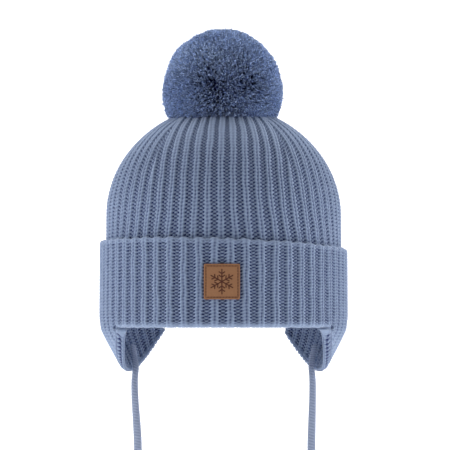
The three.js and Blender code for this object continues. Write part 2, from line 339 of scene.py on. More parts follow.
def make_piece(name, points, faces, material, body="root", **attributes):
    """A mesh from arrays: its points, its faces in arrays of like corners, and its attributes."""
    mesh = bpy.data.meshes.new(name)
    points = np.asarray(points, float).reshape(-1, 3)
    mesh.vertices.add(len(points))
    mesh.vertices.foreach_set("co", points.ravel())
    corners = np.concatenate([group.ravel() for group in faces])
    counts = np.concatenate([np.full(len(group), group.shape[1]) for group in faces])
    mesh.loops.add(len(corners))
    mesh.loops.foreach_set("vertex_index", corners.astype(np.int32))
    mesh.polygons.add(len(counts))
    mesh.polygons.foreach_set("loop_start", (np.cumsum(counts) - counts).astype(np.int32))
    mesh.update(calc_edges=True)
    mesh.polygons.foreach_set("use_smooth", np.ones(len(counts), bool))
    for key, values in attributes.items():
        attribute = mesh.attributes.new(key, "FLOAT", "POINT")
        attribute.data.foreach_set("value", np.asarray(values, np.float32).ravel())
    mesh.validate()
    piece = bpy.data.objects.new(name, mesh)
    bpy.context.scene.collection.objects.link(piece)
    piece.data.materials.append(material)
    if body:
        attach(piece, body)
    return piece


def rib_knit(rib, row, arc, crest=CREST_SHARE, loudness=1.0, depth=1.0, crispness=1.0):
    """Two-by-two rib. A rib is a crest of two knit wales, whose stitches are a V of two legs, and a
    furrow of two purl wales, whose bumps are arcs that bend up or down as arc says. Across a rib,
    place runs from 0 at the crest's middle to a half at the furrow's middle. Crispness is for the crests,
    loudness for the stitches of both. Gives the relief in metres and the painted shade, 1 in the gaps:
    shade that falls in the furrows, the holes between the bumps, the line between the wales and beside
    the legs is painted into the colour, and the purl bumps are painted lighter."""
    knit = bpy.context.scene.hat_knit
    place = np.abs(rib - np.round(rib))
    on_crest = place / crest * CREST_SHARE
    in_furrow = 0.5 - (0.5 - place) / (0.5 - crest) * (0.5 - CREST_SHARE)
    place = np.where(place < crest, on_crest, in_furrow)
    luck = scatter(np.round(rib * 2) % (2 * RIB_COUNT), np.floor(row + 0.25))

    wale = np.abs(place / CREST_SHARE * 2 - 1)
    leg = wave(row - arc * 0.35 * wale)
    on_top = smooth(0.26, 0.2, place)
    line = bell(place, 0.058)
    dash = 0.5 + 0.5 * wave(row + 0.5)
    crest_relief = knit.leg_height * (leg - wale**2 * 1.6)
    crest_relief = crest_relief - crispness * knit.line_depth * line * (0.7 + 0.5 * dash)

    across = (0.5 - place) / 0.235
    swell = wave(row + arc * 0.14 * across)
    up, down = positive(swell), positive(-swell)
    middle = bell(across, 0.38)
    sides = bell(across - 0.88, 0.3)
    uneven = smooth(0.185, 0.245, place) * (0.75 + 0.5 * luck)
    bump = uneven * (middle * up + sides * down)
    hole = uneven * (middle * down**1.2 + sides * up**1.2)
    furrow = smooth(0.19, 0.28, place)

    relief = (crest_relief * on_top + knit.bump_height * bump - knit.hole_depth * hole) * loudness
    relief = relief - knit.rib_depth * depth * furrow
    # Painted shade: darker in the furrows and their holes, lighter on the purl bumps, darker along the
    # line between the wales and beside the legs
    shade = 0.08 + furrow * (0.32 - 0.42 * bump) + 1.15 * hole * loudness
    shade = shade + on_top * crispness * (line * (0.22 + 0.6 * dash) + 0.2 * positive(-leg))
    return relief, np.clip(shade, 0, 1)


def wobble(rib, row):
    """The small sideways drift of hand-soft ribs, in shares of a rib: a sum of slow sines."""
    turn = 2 * np.pi * rib / RIB_COUNT
    drift = np.sin(row * 0.61 + turn * 16) + np.sin(row * 0.23 - turn * 27 + 1.3)
    return 0.016 * (drift + 0.8 * np.sin(row * 1.37 + turn * 47))


def rib_columns(first, last):
    """Places across ribs, from furrow to furrow: even steps less a sine, so that more points fall in
    the furrows, where the stitches are fine."""
    count = round((last - first) * bpy.context.scene.hat_knit.columns)
    even = np.linspace(first, last, count + 1)
    return even + 0.055 * np.sin(2 * np.pi * even)


def narrowed(rib, scale):
    """The rib that runs through a place of the crown. The crown has five sections, whose ribs stay a
    little wider than the dome's shrinking girth leaves room for, so ribs end at the sections' edges."""
    rib = (rib + 6) % RIB_COUNT - 6
    section = np.clip(np.searchsorted(SECTION_EDGES, rib, side="right") - 1, 0, 4)
    middle = (SECTION_EDGES[section] + SECTION_EDGES[section + 1]) / 2
    return middle + (rib - middle) * scale**0.24


def drawn_in(rib, height):
    """The rib at a place of the crown, drawn toward the front and back middle by a sine of twice the
    angle. The pull is strongest at the shoulders."""
    pull = 0.56 * smooth(46 * MM, 84 * MM, height) * smooth(130 * MM, 88 * MM, height)
    return rib + pull * (np.sin(4 * np.pi * rib / RIB_COUNT) + 0.15)


def cuff_drawn(rib):
    """The rib at a place of the cuff, drawn away from the front and back middle a little."""
    return rib - 0.2 * np.sin(4 * np.pi * rib / RIB_COUNT) - 0.1


def crown_meridian():
    """The crown's outline by its count of rows up from the cuff: the rise of the dome, the height on
    the wall and the row. Rows lie evenly along a length that is part the outline's own and part its
    height, because the stitches stretch toward the top. Coarse rings under the pompom end it."""
    knit = bpy.context.scene.hat_knit
    start = CUFF_HEIGHT - CUFF_TOP_TILT - 4 * MM
    turn = np.radians(np.linspace(0, 90, 901))
    rise = np.sin(turn)
    radius = (HALF_WIDTH + HALF_DEPTH) / 2 * dome_scale(rise)
    climb = np.diff(rise * DOME_RISE)
    steps = 0.3 * np.hypot(np.diff(radius), climb) + 0.7 * climb
    dome_length = np.concatenate([[0], np.cumsum(steps)])
    wall_length = SHOULDER_HEIGHT - start
    last, *hidden = wall_length + np.interp(DOME_RINGS, turn, dome_length)
    length = np.concatenate([np.arange(0, last, knit.crown_row / knit.samples), hidden])
    rise = np.interp(positive(length - wall_length), dome_length, rise)
    return rise, start + length, length / knit.crown_row


def make_crown_half(name, first_rib, material):
    """Half the crown's outer face, from furrow to furrow, closed at the apex."""
    columns = rib_columns(first_rib, first_rib + HALF_COUNT)
    rise, height, row = (values[:, None] for values in crown_meridian())
    base = on_dome(rib_angle(columns)[None, :], rise, height, 0.0)
    z = base[..., 2]
    rib = drawn_in(columns[None, :], z)
    rib = narrowed(rib + 1e-6, dome_scale(rise)) + wobble(columns[None, :], row)
    near_top = smooth(98 * MM, 134 * MM, z)
    # At the sides the stitches lie deeper and their painted shade is darker
    relief, shade = rib_knit(rib, row, 1, crest=CREST_SHARE + 0.08 * near_top,
                             loudness=1 + SIDE_DEPTH_AND_SHADE * np.cos(rib_angle(columns)) ** 2,
                             depth=1 - 0.1 * near_top, crispness=1 - 0.8 * near_top)
    # Painted light: the painted shade is weakened toward the top, which paints the crown lighter there
    shade = shade * (1 - 0.22 * near_top)
    shown = smooth(143 * MM, 138 * MM, z)
    points = base + grid_normals(base) * (relief * shown)[..., None]
    apex = len(points) * len(columns)
    ring = np.arange(apex - len(columns), apex)
    fan = fan_faces(ring, apex, True)[:-1]
    points = np.concatenate([points.reshape(-1, 3), [[0, 0, CROWN_HEIGHT]]])
    shade = np.append(shade.ravel(), 0)
    faces = [grid_faces(*rib.shape), fan]
    return make_piece(name, points, faces, material, hollow=shade)


def make_crown_inside(material):
    """The crown's inner face: the same ribs seen from behind, one wall's thickness in."""
    per_rib = 4
    columns = np.arange(RIB_COUNT * per_rib) / per_rib
    wall = np.linspace(FOLD - 0.8 * MM, SHOULDER_HEIGHT, 18)
    rise = np.concatenate([np.zeros(18), np.sin(np.radians(np.arange(2, 90, 2.8)))])[:, None]
    height = np.concatenate([wall, np.full(len(rise) - 18, SHOULDER_HEIGHT)])[:, None]
    angle = rib_angle(columns)[None, :]
    near_top = smooth(0.3, 1.0, rise)
    ridge = np.cos(2 * np.pi * columns)[None, :] * (1 - near_top)
    groove = (0.5 - 0.5 * ridge) * 0.9 * MM * smooth(FOLD, FOLD + 8 * MM, height)
    points = on_dome(angle, rise, height, WALL_THICKNESS - groove)
    apex = points.shape[0] * points.shape[1]
    ring = np.arange(apex - points.shape[1], apex)
    faces = [grid_faces(*points.shape[:2], wrap=True)[:, ::-1], fan_faces(ring, apex, False)]
    top = [[0, 0, CROWN_HEIGHT - WALL_THICKNESS]]
    # Painted shade: the inner face is darkened, a quarter on average, from none to a half across each
    # rib, and a little more at the apex
    shade = np.append((0.25 + 0.25 * ridge * np.ones_like(rise)).ravel(), 0.3)
    points = np.concatenate([points.reshape(-1, 3), top])
    return make_piece("crown_inside", points, faces, material, hollow=shade)


def cuff_section():
    """The cuff's section by its own length: the offset from the crown, the height counted up from
    the rim and down from the top edge, and the share of the top edge's height in it. It runs round
    the fold under the crown, up the face and over the top edge."""
    knit = bpy.context.scene.hat_knit
    step = knit.cuff_row / knit.samples
    fold_middle = CUFF_OFFSET - FOLD
    half_edge = WALL_THICKNESS / 2
    face_length = CUFF_HEIGHT - FOLD - half_edge
    fold_count = round(math.pi * FOLD / step)
    edge_count = int(math.pi * half_edge / step)
    face_count = int(face_length / step)
    fold = np.linspace(-np.pi, 0, fold_count, endpoint=False)
    face = np.linspace(0, 1, face_count, endpoint=False)
    edge = np.linspace(0, np.pi, edge_count)
    offset = np.concatenate([
        fold_middle + FOLD * np.cos(fold),
        np.full(face_count, CUFF_OFFSET),
        CUFF_OFFSET - half_edge + half_edge * np.cos(edge),
        [LAYER_GAP],
    ])
    up = np.concatenate([
        FOLD + FOLD * np.sin(fold),
        FOLD * (1 - face) - half_edge * face,
        half_edge * np.sin(edge) - half_edge,
        [-4 * half_edge],
    ])
    share = np.concatenate([np.zeros(fold_count), face, np.ones(edge_count + 1)])
    row = FOLD_ROWS + (np.arange(len(offset)) - fold_count) / knit.samples
    return offset, up, share, row


def side_turn(angle):
    """The angle in degrees from the hat's nearer side toward the back, for an angle round the oval."""
    degrees = np.degrees(angle) % 360
    return np.where((degrees > 90) & (degrees < 270), 180 - degrees, (degrees + 180) % 360 - 180)


def make_cuff_half(name, first_rib, material):
    """Half the cuff, from furrow to furrow, with its fold and top edge. Above a flap it turns in."""
    columns = rib_columns(first_rib, first_rib + HALF_COUNT)
    offset, up, share, row = (values[:, None] for values in cuff_section())
    angle = rib_angle(columns + 0.5)[None, :]
    ripple = 0.3 * np.cos(2 * np.pi * columns) + 0.25 * np.sin(columns * 1.9) * np.sin(columns * 0.63)
    top = CUFF_HEIGHT - CUFF_TOP_TILT * np.cos(angle) + MM * ripple[None, :]
    height = up + share * top

    joined = flap_share(side_turn(angle))
    outer = (share < 1) & (offset > CUFF_OFFSET - FOLD)
    offset = offset - np.where(outer, joined * flap_bend(height), 0)
    base = beside_oval(angle, offset, height)

    rib = cuff_drawn(columns[None, :]) + wobble(columns[None, :] + 11, row)
    from_top = smooth(4.5 * MM, 0.3 * MM, top - height) * (share > 0)
    at_fold = smooth(4.5 * MM, 0, height) * (1 - joined)
    # At the sides the stitches lie deeper and their painted shade is darker
    sideways = 1 + SIDE_DEPTH_AND_SHADE * np.cos(angle) ** 2
    relief, shade = rib_knit(rib, row, -1,
                             loudness=sideways * (1 - 0.5 * from_top) * (1 - 0.6 * at_fold),
                             depth=(1 - 0.6 * from_top) * (1 - 0.7 * at_fold))
    # Painted light: the painted shade is weakened near the top edge and along the fold, which paints
    # these rounded edges lighter
    shade = shade * (1 - 0.55 * from_top) * (1 - 0.7 * at_fold)
    shown = smooth(0, 9, np.arange(len(share)))[:, None]
    shown[-2:] = 0
    points = base + grid_normals(base) * (relief * shown)[..., None]
    return make_piece(name, points, [grid_faces(*rib.shape)], material, hollow=shade)


def flap_reach(turn):
    """How far the flap reaches below the rim, at an angle in degrees from the hat's side."""
    front = turn < FLAP_TIP_ANGLE
    corner = np.where(front, FLAP_FRONT_ANGLE, FLAP_REAR_ANGLE)
    power = np.where(front, FLAP_FRONT_POWER, FLAP_REAR_POWER)
    across = np.clip((turn - FLAP_TIP_ANGLE) / (corner - FLAP_TIP_ANGLE), 0, 1)
    return FLAP_CORNER_DROP + (FLAP_DROP - FLAP_CORNER_DROP) * (1 - across**power)


def flap_inward(side, turn, depth):
    """How far the flap leans in at a depth below the rim; its front edge curls in further."""
    front = positive((FLAP_TIP_ANGLE - turn) / (FLAP_TIP_ANGLE - FLAP_FRONT_ANGLE))
    return (FLAP_LEAN[side] + FLAP_FRONT_CURL * front**2) * depth**2 / (depth + 3 * MM) / FLAP_DROP


def flap_share(turn):
    """How fully the cuff's face runs into the flap: 1 along the flap and 0 from its corners on."""
    return smooth(2 * MM, 9 * MM, flap_reach(turn))


def flap_bend(height):
    """How far the outer face has turned in by a height above the rim, where it runs into a flap."""
    return 1.3 * MM * smooth(9 * MM, -5 * MM, height)


def cuff_rib_at(angle):
    """The cuff's rib nearest to an angle round the oval, in degrees."""
    return round(RIB_COUNT * (angle + 90 - RIB_TURN) / 360 - 0.5)


def make_flap(side, material):
    """An ear flap: down its outer face, round its lower edge and up its inner face. The ribs run on
    from the cuff. A hem of wales follows the outline, and its place is the way along the section from
    the outermost line, plus on the outer side and minus on the inner one."""
    knit = bpy.context.scene.hat_knit
    left = side == "left"
    first = cuff_rib_at(180 - FLAP_REAR_ANGLE if left else FLAP_FRONT_ANGLE)
    last = cuff_rib_at(180 - FLAP_FRONT_ANGLE if left else FLAP_REAR_ANGLE)
    columns = rib_columns(first, last)[None, :]
    angle = rib_angle(columns + 0.5)
    turn = 180 - np.degrees(angle) if left else np.degrees(angle)
    reach = flap_reach(turn)
    edge = np.minimum(FLAP_EDGE, reach / 2)

    step = knit.cuff_row / knit.samples
    joined = flap_share(turn)
    lap = joined * (FOLD + LAYER_GAP)
    lap_count = int((FOLD + LAYER_GAP) / step)
    face_count = int(FLAP_DROP / step)
    edge_count = int(math.pi * FLAP_EDGE / step)
    down = np.concatenate([np.zeros(lap_count), np.linspace(0, 1, face_count), np.ones(edge_count),
                           np.linspace(1, 0, face_count)])[:, None]
    above = np.concatenate([np.linspace(1, 0, lap_count, endpoint=False),
                            np.zeros(2 * face_count + edge_count)])[:, None]
    swing = np.linspace(0, np.pi, edge_count + 2)[1:-1]
    swing = np.concatenate([np.zeros(lap_count + face_count), swing, np.full(face_count, np.pi)])
    swing = swing[:, None]
    depth = (reach - edge) * down + edge * np.sin(swing) - lap * above
    below = positive(depth)
    inner = -WALL_THICKNESS + FLAP_THINNING * below / FLAP_DROP
    facing = (1 + np.cos(swing)) / 2
    fold_height = np.clip((FOLD + LAYER_GAP + depth) / FOLD, 0, 1)
    fold_offset = CUFF_OFFSET - FOLD + FOLD * np.sqrt(1 - fold_height**2) - 0.7 * MM
    fold_offset = np.where(depth > 0, CUFF_OFFSET - 2.2 * MM * np.exp(-below / (1.5 * MM)), fold_offset)
    outer = fold_offset + (CUFF_OFFSET - fold_offset) * joined - joined * flap_bend(-LAYER_GAP - depth)
    offset = inner + (outer - inner) * facing - flap_inward(side, turn, below)

    girth_radius = (HALF_WIDTH + HALF_DEPTH) / 2
    along = np.gradient(angle, axis=1) * girth_radius
    slope = np.gradient(reach, axis=1) / along
    steepness = np.hypot(1, slope)
    outline = np.cumsum(np.hypot(along, np.gradient(reach, axis=1)), axis=1) / HEM_STITCH
    from_line = np.sign(np.cos(swing)) * ((reach - edge) * (1 - down) + lap * above) / steepness
    from_line = from_line + edge * (np.pi / 2 - swing)
    rear = smooth(FLAP_TIP_ANGLE, FLAP_TIP_ANGLE + 12, turn)
    calm = smooth(1.5 * MM, 7 * MM, reach)
    scallop = rear * calm * 0.9 * MM * wave(outline) * bell(from_line, 4 * MM)
    scallop = scallop / steepness
    base = beside_oval(angle - slope * scallop / girth_radius, offset, -LAYER_GAP - depth - scallop)

    row = FOLD_ROWS - (FOLD + LAYER_GAP + depth) / knit.cuff_row
    rib = cuff_drawn(columns) + wobble(columns + 11, row)
    outside = smooth(0.2, 0.8, facing) * smooth(-4 * MM, 12 * MM, depth)
    relief, shade = rib_knit(rib, row, -1, crest=CREST_SHARE + 0.07 * outside,
                             loudness=1 - 0.6 * outside, depth=1 - 0.25 * outside)
    # Painted light: the painted shade is weakened on the flap's outer face, which paints it lighter
    shade = shade * (1 - 0.45 * outside)
    hem = smooth(HEM_REACH + 1.8 * MM, HEM_REACH + 0.6 * MM, np.abs(from_line))
    wale = (from_line + HEM_REACH) / (2 * HEM_REACH) * 3
    beside = np.abs(wale - np.round(wale))
    groove = bell(beside, 0.17) * (1 - 0.45 * bell(wale, 0.4))
    border = bell(wale - 2.2, 0.55)
    dark = positive(wave(outline + 0.5 * np.abs(wale - 2.2)))
    leg = wave(outline * 2 + 0.7 * beside)
    hem_relief = (0.28 * leg - 0.6 * groove - 0.7 * border * dark) * MM * calm
    # Painted shade in the hem: darker in the grooves between its wales, in the border's chevrons and
    # beside the legs
    hem_shade = 0.06 + calm * (0.5 * groove + 1.15 * border * dark + 0.3 * positive(-leg))
    relief = relief * (1 - hem) + hem_relief * hem
    shade = shade * (1 - hem) + hem_shade * hem
    points = base - grid_normals(base) * relief[..., None]

    rows, count = depth.shape
    loop_first = np.arange(rows) * count
    loop_last = loop_first + count - 1
    half = rows // 2
    caps = []
    for loop, turned in ((loop_first, False), (loop_last, True)):
        cap = np.stack([loop[:half - 1], loop[1:half], loop[::-1][1:half], loop[::-1][:half - 1]], -1)
        caps.append(cap[:, ::-1] if turned else cap)
    top = np.stack([np.arange(count - 1), np.arange(count - 1) + (rows - 1) * count], -1)
    lid = np.concatenate([top, top[:, ::-1] + 1], 1)
    faces = [group[:, ::-1] for group in (grid_faces(rows, count), *caps, lid)]
    piece = make_piece(f"ear_flap_{side}_knit", points, faces, material, hollow=np.clip(shade, 0, 1))
    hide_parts(f"ear_flap_{side}")
    return piece


def smooth_route(route, count):
    """A curve through a route's points: cubic pieces whose slopes are those of the neighbours."""
    points = np.array(route) * MM
    places = lengths_along(points)
    slopes = np.gradient(points, places, axis=0)
    at = np.linspace(0, places[-1], count)
    piece = np.clip(np.searchsorted(places, at, side="right") - 1, 0, len(points) - 2)
    span = np.linalg.norm(points[piece + 1] - points[piece], axis=1)[:, None]
    share = (at - places[piece])[:, None] / span
    blend = share * share * (3 - 2 * share)
    start = share * (1 - share) ** 2 * span * slopes[piece]
    end = -(share**2) * (1 - share) * span * slopes[piece + 1]
    return points[piece] * (1 - blend) + points[piece + 1] * blend + start + end


def tube(path, wide, half_width, half_thickness, around, swell):
    """A flat tube along a path: an oval ring at each point, its width along the wide direction, and
    swollen by a relief on the grid. Both ends close in a pole."""
    tangent = unit(np.gradient(path, axis=0))
    wide = unit(wide - tangent * np.sum(wide * tangent, axis=1, keepdims=True))
    thin = np.cross(tangent, wide)
    turn = full_turn(around)
    across = np.cos(turn)[None, :, None]
    through = np.sin(turn)[None, :, None]
    end = np.minimum(np.arange(len(path)), np.arange(len(path))[::-1])
    rounding = np.sqrt(np.clip(1 - (1 - np.clip(end, 0, 3) / 3) ** 2, 0.08, 1))[:, None, None]
    reach = (half_width[:, None, None] + swell[..., None]) * across * wide[:, None]
    height = (half_thickness[:, None, None] + swell[..., None]) * through * thin[:, None]
    rings = path[:, None] + rounding * (reach + height)
    points = np.concatenate([rings.reshape(-1, 3), path[:1], path[-1:]])
    return points, closed_faces(len(path), around, True)


def make_tie(side, material):
    """A flat knitted cord from the flap's inside to its free end, twisting to face the front."""
    ties = bpy.context.scene.hat_ties
    mirror = np.array([1 if side == "left" else -1, 1, 1])
    path = smooth_route(TIE_ROUTE, TIE_POINTS) * mirror
    if side == "left":
        path[:, 0] += LEFT_TIE_DRIFT * smooth(-34 * MM, -80 * MM, path[:, 2])
    length = lengths_along(path)
    twist = np.radians(48) * smooth(40 * MM, 5 * MM, length) * mirror[0]
    wide = np.stack([np.cos(twist), np.sin(twist), np.zeros_like(twist)], 1)
    ripple = wave(length[:, None] / ties.row - 0.4 * np.cos(full_turn(TIE_AROUND))[None, :])
    half_width = ties.width / 2 * (0.92 + 0.2 * smooth(20 * MM, 75 * MM, length))
    half_thickness = ties.thickness / 2 * (0.5 + 0.5 * smooth(14 * MM, 24 * MM, length))
    points, faces = tube(path, wide, half_width, half_thickness, TIE_AROUND, ties.relief * ripple)
    # Painted shade in the grooves between the cord's rows
    shade = np.append(0.08 + 0.42 * positive(-ripple).ravel() ** 1.5, [0, 0])
    piece = make_piece(f"tie_{side}_cord", points, faces, material, hollow=shade)
    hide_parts(f"tie_{side}")
    return piece, path, float(length[-1])


def make_knot(side, material):
    """A plain knot at the tie's end: the cord winds twice round itself and leaves in a short tail."""
    low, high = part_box(f"tie_knot_{side}")
    centre = (np.array(low) + np.array(high)) / 2
    centre[0] += LEFT_TIE_DRIFT if side == "left" else 0
    around = 14
    share = np.linspace(0, 1, 150)
    turn = 2 * np.pi * 2.15 * share
    radius = 2.25 * MM * np.sin(np.pi * share) ** 0.6
    height = 3.4 * MM - 7.6 * MM * share + 1.2 * MM * np.sin(2 * np.pi * share)
    path = np.stack([radius * np.cos(turn), radius * np.sin(turn), height], 1)
    tail = np.stack([np.linspace(0, 0.6, 26)[1:], np.zeros(25), np.linspace(0, -3.4, 26)[1:]], 1) * MM
    path = centre + np.concatenate([path, path[-1] + tail])
    wide = np.tile([0.3, 0.0, 1.0], (len(path), 1))
    length = lengths_along(path)
    ripple = wave(length[:, None] / (1.9 * MM)) * np.ones((1, around))
    half_width = np.full(len(path), 1.75 * MM)
    half_thickness = np.full(len(path), 1.3 * MM)
    points, faces = tube(path, wide, half_width, half_thickness, around, 0.1 * MM * ripple)
    # Painted shade in the grooves between the cord's rows
    shade = np.append(0.16 * positive(-ripple).ravel(), [0, 0])
    piece = make_piece(f"tie_{side}_knot", points, faces, material, hollow=shade)
    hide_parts(f"tie_knot_{side}")
    return piece


def to_segment(x, z, start, end):
    """The distance of points from a straight line between two points."""
    run = np.array(end) - np.array(start)
    share = np.clip(((x - start[0]) * run[0] + (z - start[1]) * run[1]) / np.dot(run, run), 0, 1)
    return np.hypot(x - start[0] - share * run[0], z - start[1] - share * run[1])


def star_distance(x, z):
    """The distance from a six-armed star of lines, each arm with two pairs of side branches."""
    nearest = np.full(x.shape, 1.0)
    for arm in range(6):
        turn = math.radians(90 + 60 * arm)
        way = np.array([math.cos(turn), math.sin(turn)])
        nearest = np.minimum(nearest, to_segment(x, z, (0, 0), way * 7.2 * MM))
        for root, reach in ((2.6 * MM, 2 * MM), (4.6 * MM, 1.9 * MM)):
            for lean in (-55, 55):
                side = turn + math.radians(lean)
                start = way * root
                end = start + np.array([math.cos(side), math.sin(side)]) * reach
                nearest = np.minimum(nearest, to_segment(x, z, start, end))
    return nearest


def make_patch(material):
    """The leather patch: rounded squares from its middle out to its edge, round the edge and back to
    the middle behind, bent round the cuff. The seam and the star are burned into its face."""
    patch = bpy.context.scene.hat_patch
    half = patch.width / 2
    turn = full_turn(180)[None, :]
    square = (np.abs(np.cos(turn)) ** 30 + np.abs(np.sin(turn)) ** 30) ** (-1 / 30)
    bevel = 0.35 * MM
    swing = np.linspace(0, np.pi / 2, 5)[1:]
    face = np.linspace(0.012, 1 - bevel / half, PATCH_RINGS)
    out = np.concatenate([face, 1 - bevel / half * (1 - np.sin(swing)), [1, 1 - bevel / half, 0.02]])
    lift = np.concatenate([np.ones(PATCH_RINGS), 1 - bevel / patch.thickness * (1 - np.cos(swing)),
                           [0.2, 0, 0]])[:, None]
    x = out[:, None] * half * square * np.cos(turn)
    z = out[:, None] * half * square * np.sin(turn)
    inset = half - np.maximum(np.abs(x), np.abs(z))
    along = np.where(np.abs(x) > np.abs(z), z, x) / patch.stitch
    gap = smooth(0.32, 0.5, np.abs(along % 1 - 0.5))
    seam = smooth(patch.line * 0.8, patch.line * 0.35, np.abs(inset - patch.border)) * (1 - 0.75 * gap)
    star = smooth(patch.line * 0.75, patch.line * 0.4, star_distance(x, z))
    burn = np.maximum(0.8 * seam, star) * (np.arange(len(out)) < PATCH_RINGS)[:, None]
    rim = smooth(0.6 * MM, 0, inset) * 0.3
    angle = -np.pi / 2 + np.arcsin((x + PATCH_SHIFT) / (HALF_WIDTH + CUFF_OFFSET))
    offset = CUFF_OFFSET + LAYER_GAP + patch.thickness * lift - patch.depth * burn
    points = beside_oval(angle, offset, PATCH_HEIGHT + z)
    middle = -np.pi / 2 + math.asin(PATCH_SHIFT / (HALF_WIDTH + CUFF_OFFSET))
    poles = [beside_oval(middle, CUFF_OFFSET + LAYER_GAP + patch.thickness - patch.depth, PATCH_HEIGHT),
             beside_oval(middle, CUFF_OFFSET + LAYER_GAP, PATCH_HEIGHT)]
    points = np.concatenate([points.reshape(-1, 3), poles])
    burn = np.append(np.maximum(burn, rim).ravel(), [1, 0])
    piece = make_piece("leather_patch", points, closed_faces(*x.shape, False), material, burn=burn)
    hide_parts("patch")
    return piece


def dome_distance(centre, way, longest):
    """How far each ray from a point runs before it meets the crown's dome, found in small steps."""
    steps = np.arange(0.5, longest / MM, 0.5) * MM
    points = centre + way[:, None] * steps[None, :, None]
    rise = np.clip((points[..., 2] - SHOULDER_HEIGHT) / DOME_RISE, 0, 1)
    scale = np.maximum(dome_scale(rise), 1e-6)
    inside = (points[..., 0] / HALF_WIDTH / scale) ** 2 + (points[..., 1] / HALF_DEPTH / scale) ** 2 < 1
    met = inside & (points[..., 2] < CROWN_HEIGHT)
    first = np.argmax(met, axis=1)
    return np.where(met.any(axis=1), steps[first], longest)


def spiral(count):
    """Directions spread evenly over a ball, each a golden angle on from the last."""
    index = np.arange(count)
    height = 1 - (2 * index + 1) / count
    turn = index * math.pi * (3 - math.sqrt(5))
    girth = np.sqrt(1 - height**2)
    return np.stack([girth * np.cos(turn), girth * np.sin(turn), height], 1)


def hang(way):
    """How far the yarn spreads toward the front and back, for a way out of the ball's middle: the ball
    is an oval, and its lower yarn hangs over the crown."""
    low = np.degrees(np.arcsin(way[:, 2]))
    return bpy.context.scene.hat_pompom.fringe * (0.52 + 0.48 * smooth(12, -34, low)) * way[:, 1] ** 2


def make_pompom_head(material):
    """The head under the yarn ends, coloured dark as painted shade between them: a ball whose underside
    follows the crown.
    """
    pompom = bpy.context.scene.hat_pompom
    rows, around = 40, 72
    polar = np.linspace(0, np.pi, rows + 2)[1:-1, None]
    turn = full_turn(around)[None, :]
    way = grid_of(np.sin(polar) * np.cos(turn), np.sin(polar) * np.sin(turn), np.cos(polar))
    centre = np.array(POMPOM_CENTRE)
    way = np.concatenate([way.reshape(-1, 3), [[0, 0, 1], [0, 0, -1]]])
    reach = pompom.head + 0.75 * hang(way)
    reach = np.minimum(reach, dome_distance(centre, way, RAY_LENGTH) - 0.5 * MM)
    points = centre + way * reach[:, None]
    # Painted shade: the head's low tip share colours it nearly as dark as the roots
    piece = make_piece("pompom_head", points, closed_faces(rows, around, False), material,
                       tip=np.full(len(points), 0.1), mood=np.full(len(points), 0.5))
    return piece


def slow_wave(draw, way, slowest, fastest):
    """A wave over the ball's ways, drawn at random: the sine of their reach along a random line."""
    pace = unit(draw.normal(size=3)) * draw.uniform(slowest, fastest)
    return np.sin(way @ pace + draw.uniform(0, 2 * np.pi))


def copied_faces(pattern, count, stride):
    """The faces of many like forms, each with the same count of points."""
    return (np.arange(count)[:, None, None] * stride + np.array(pattern)).reshape(-1, 3)


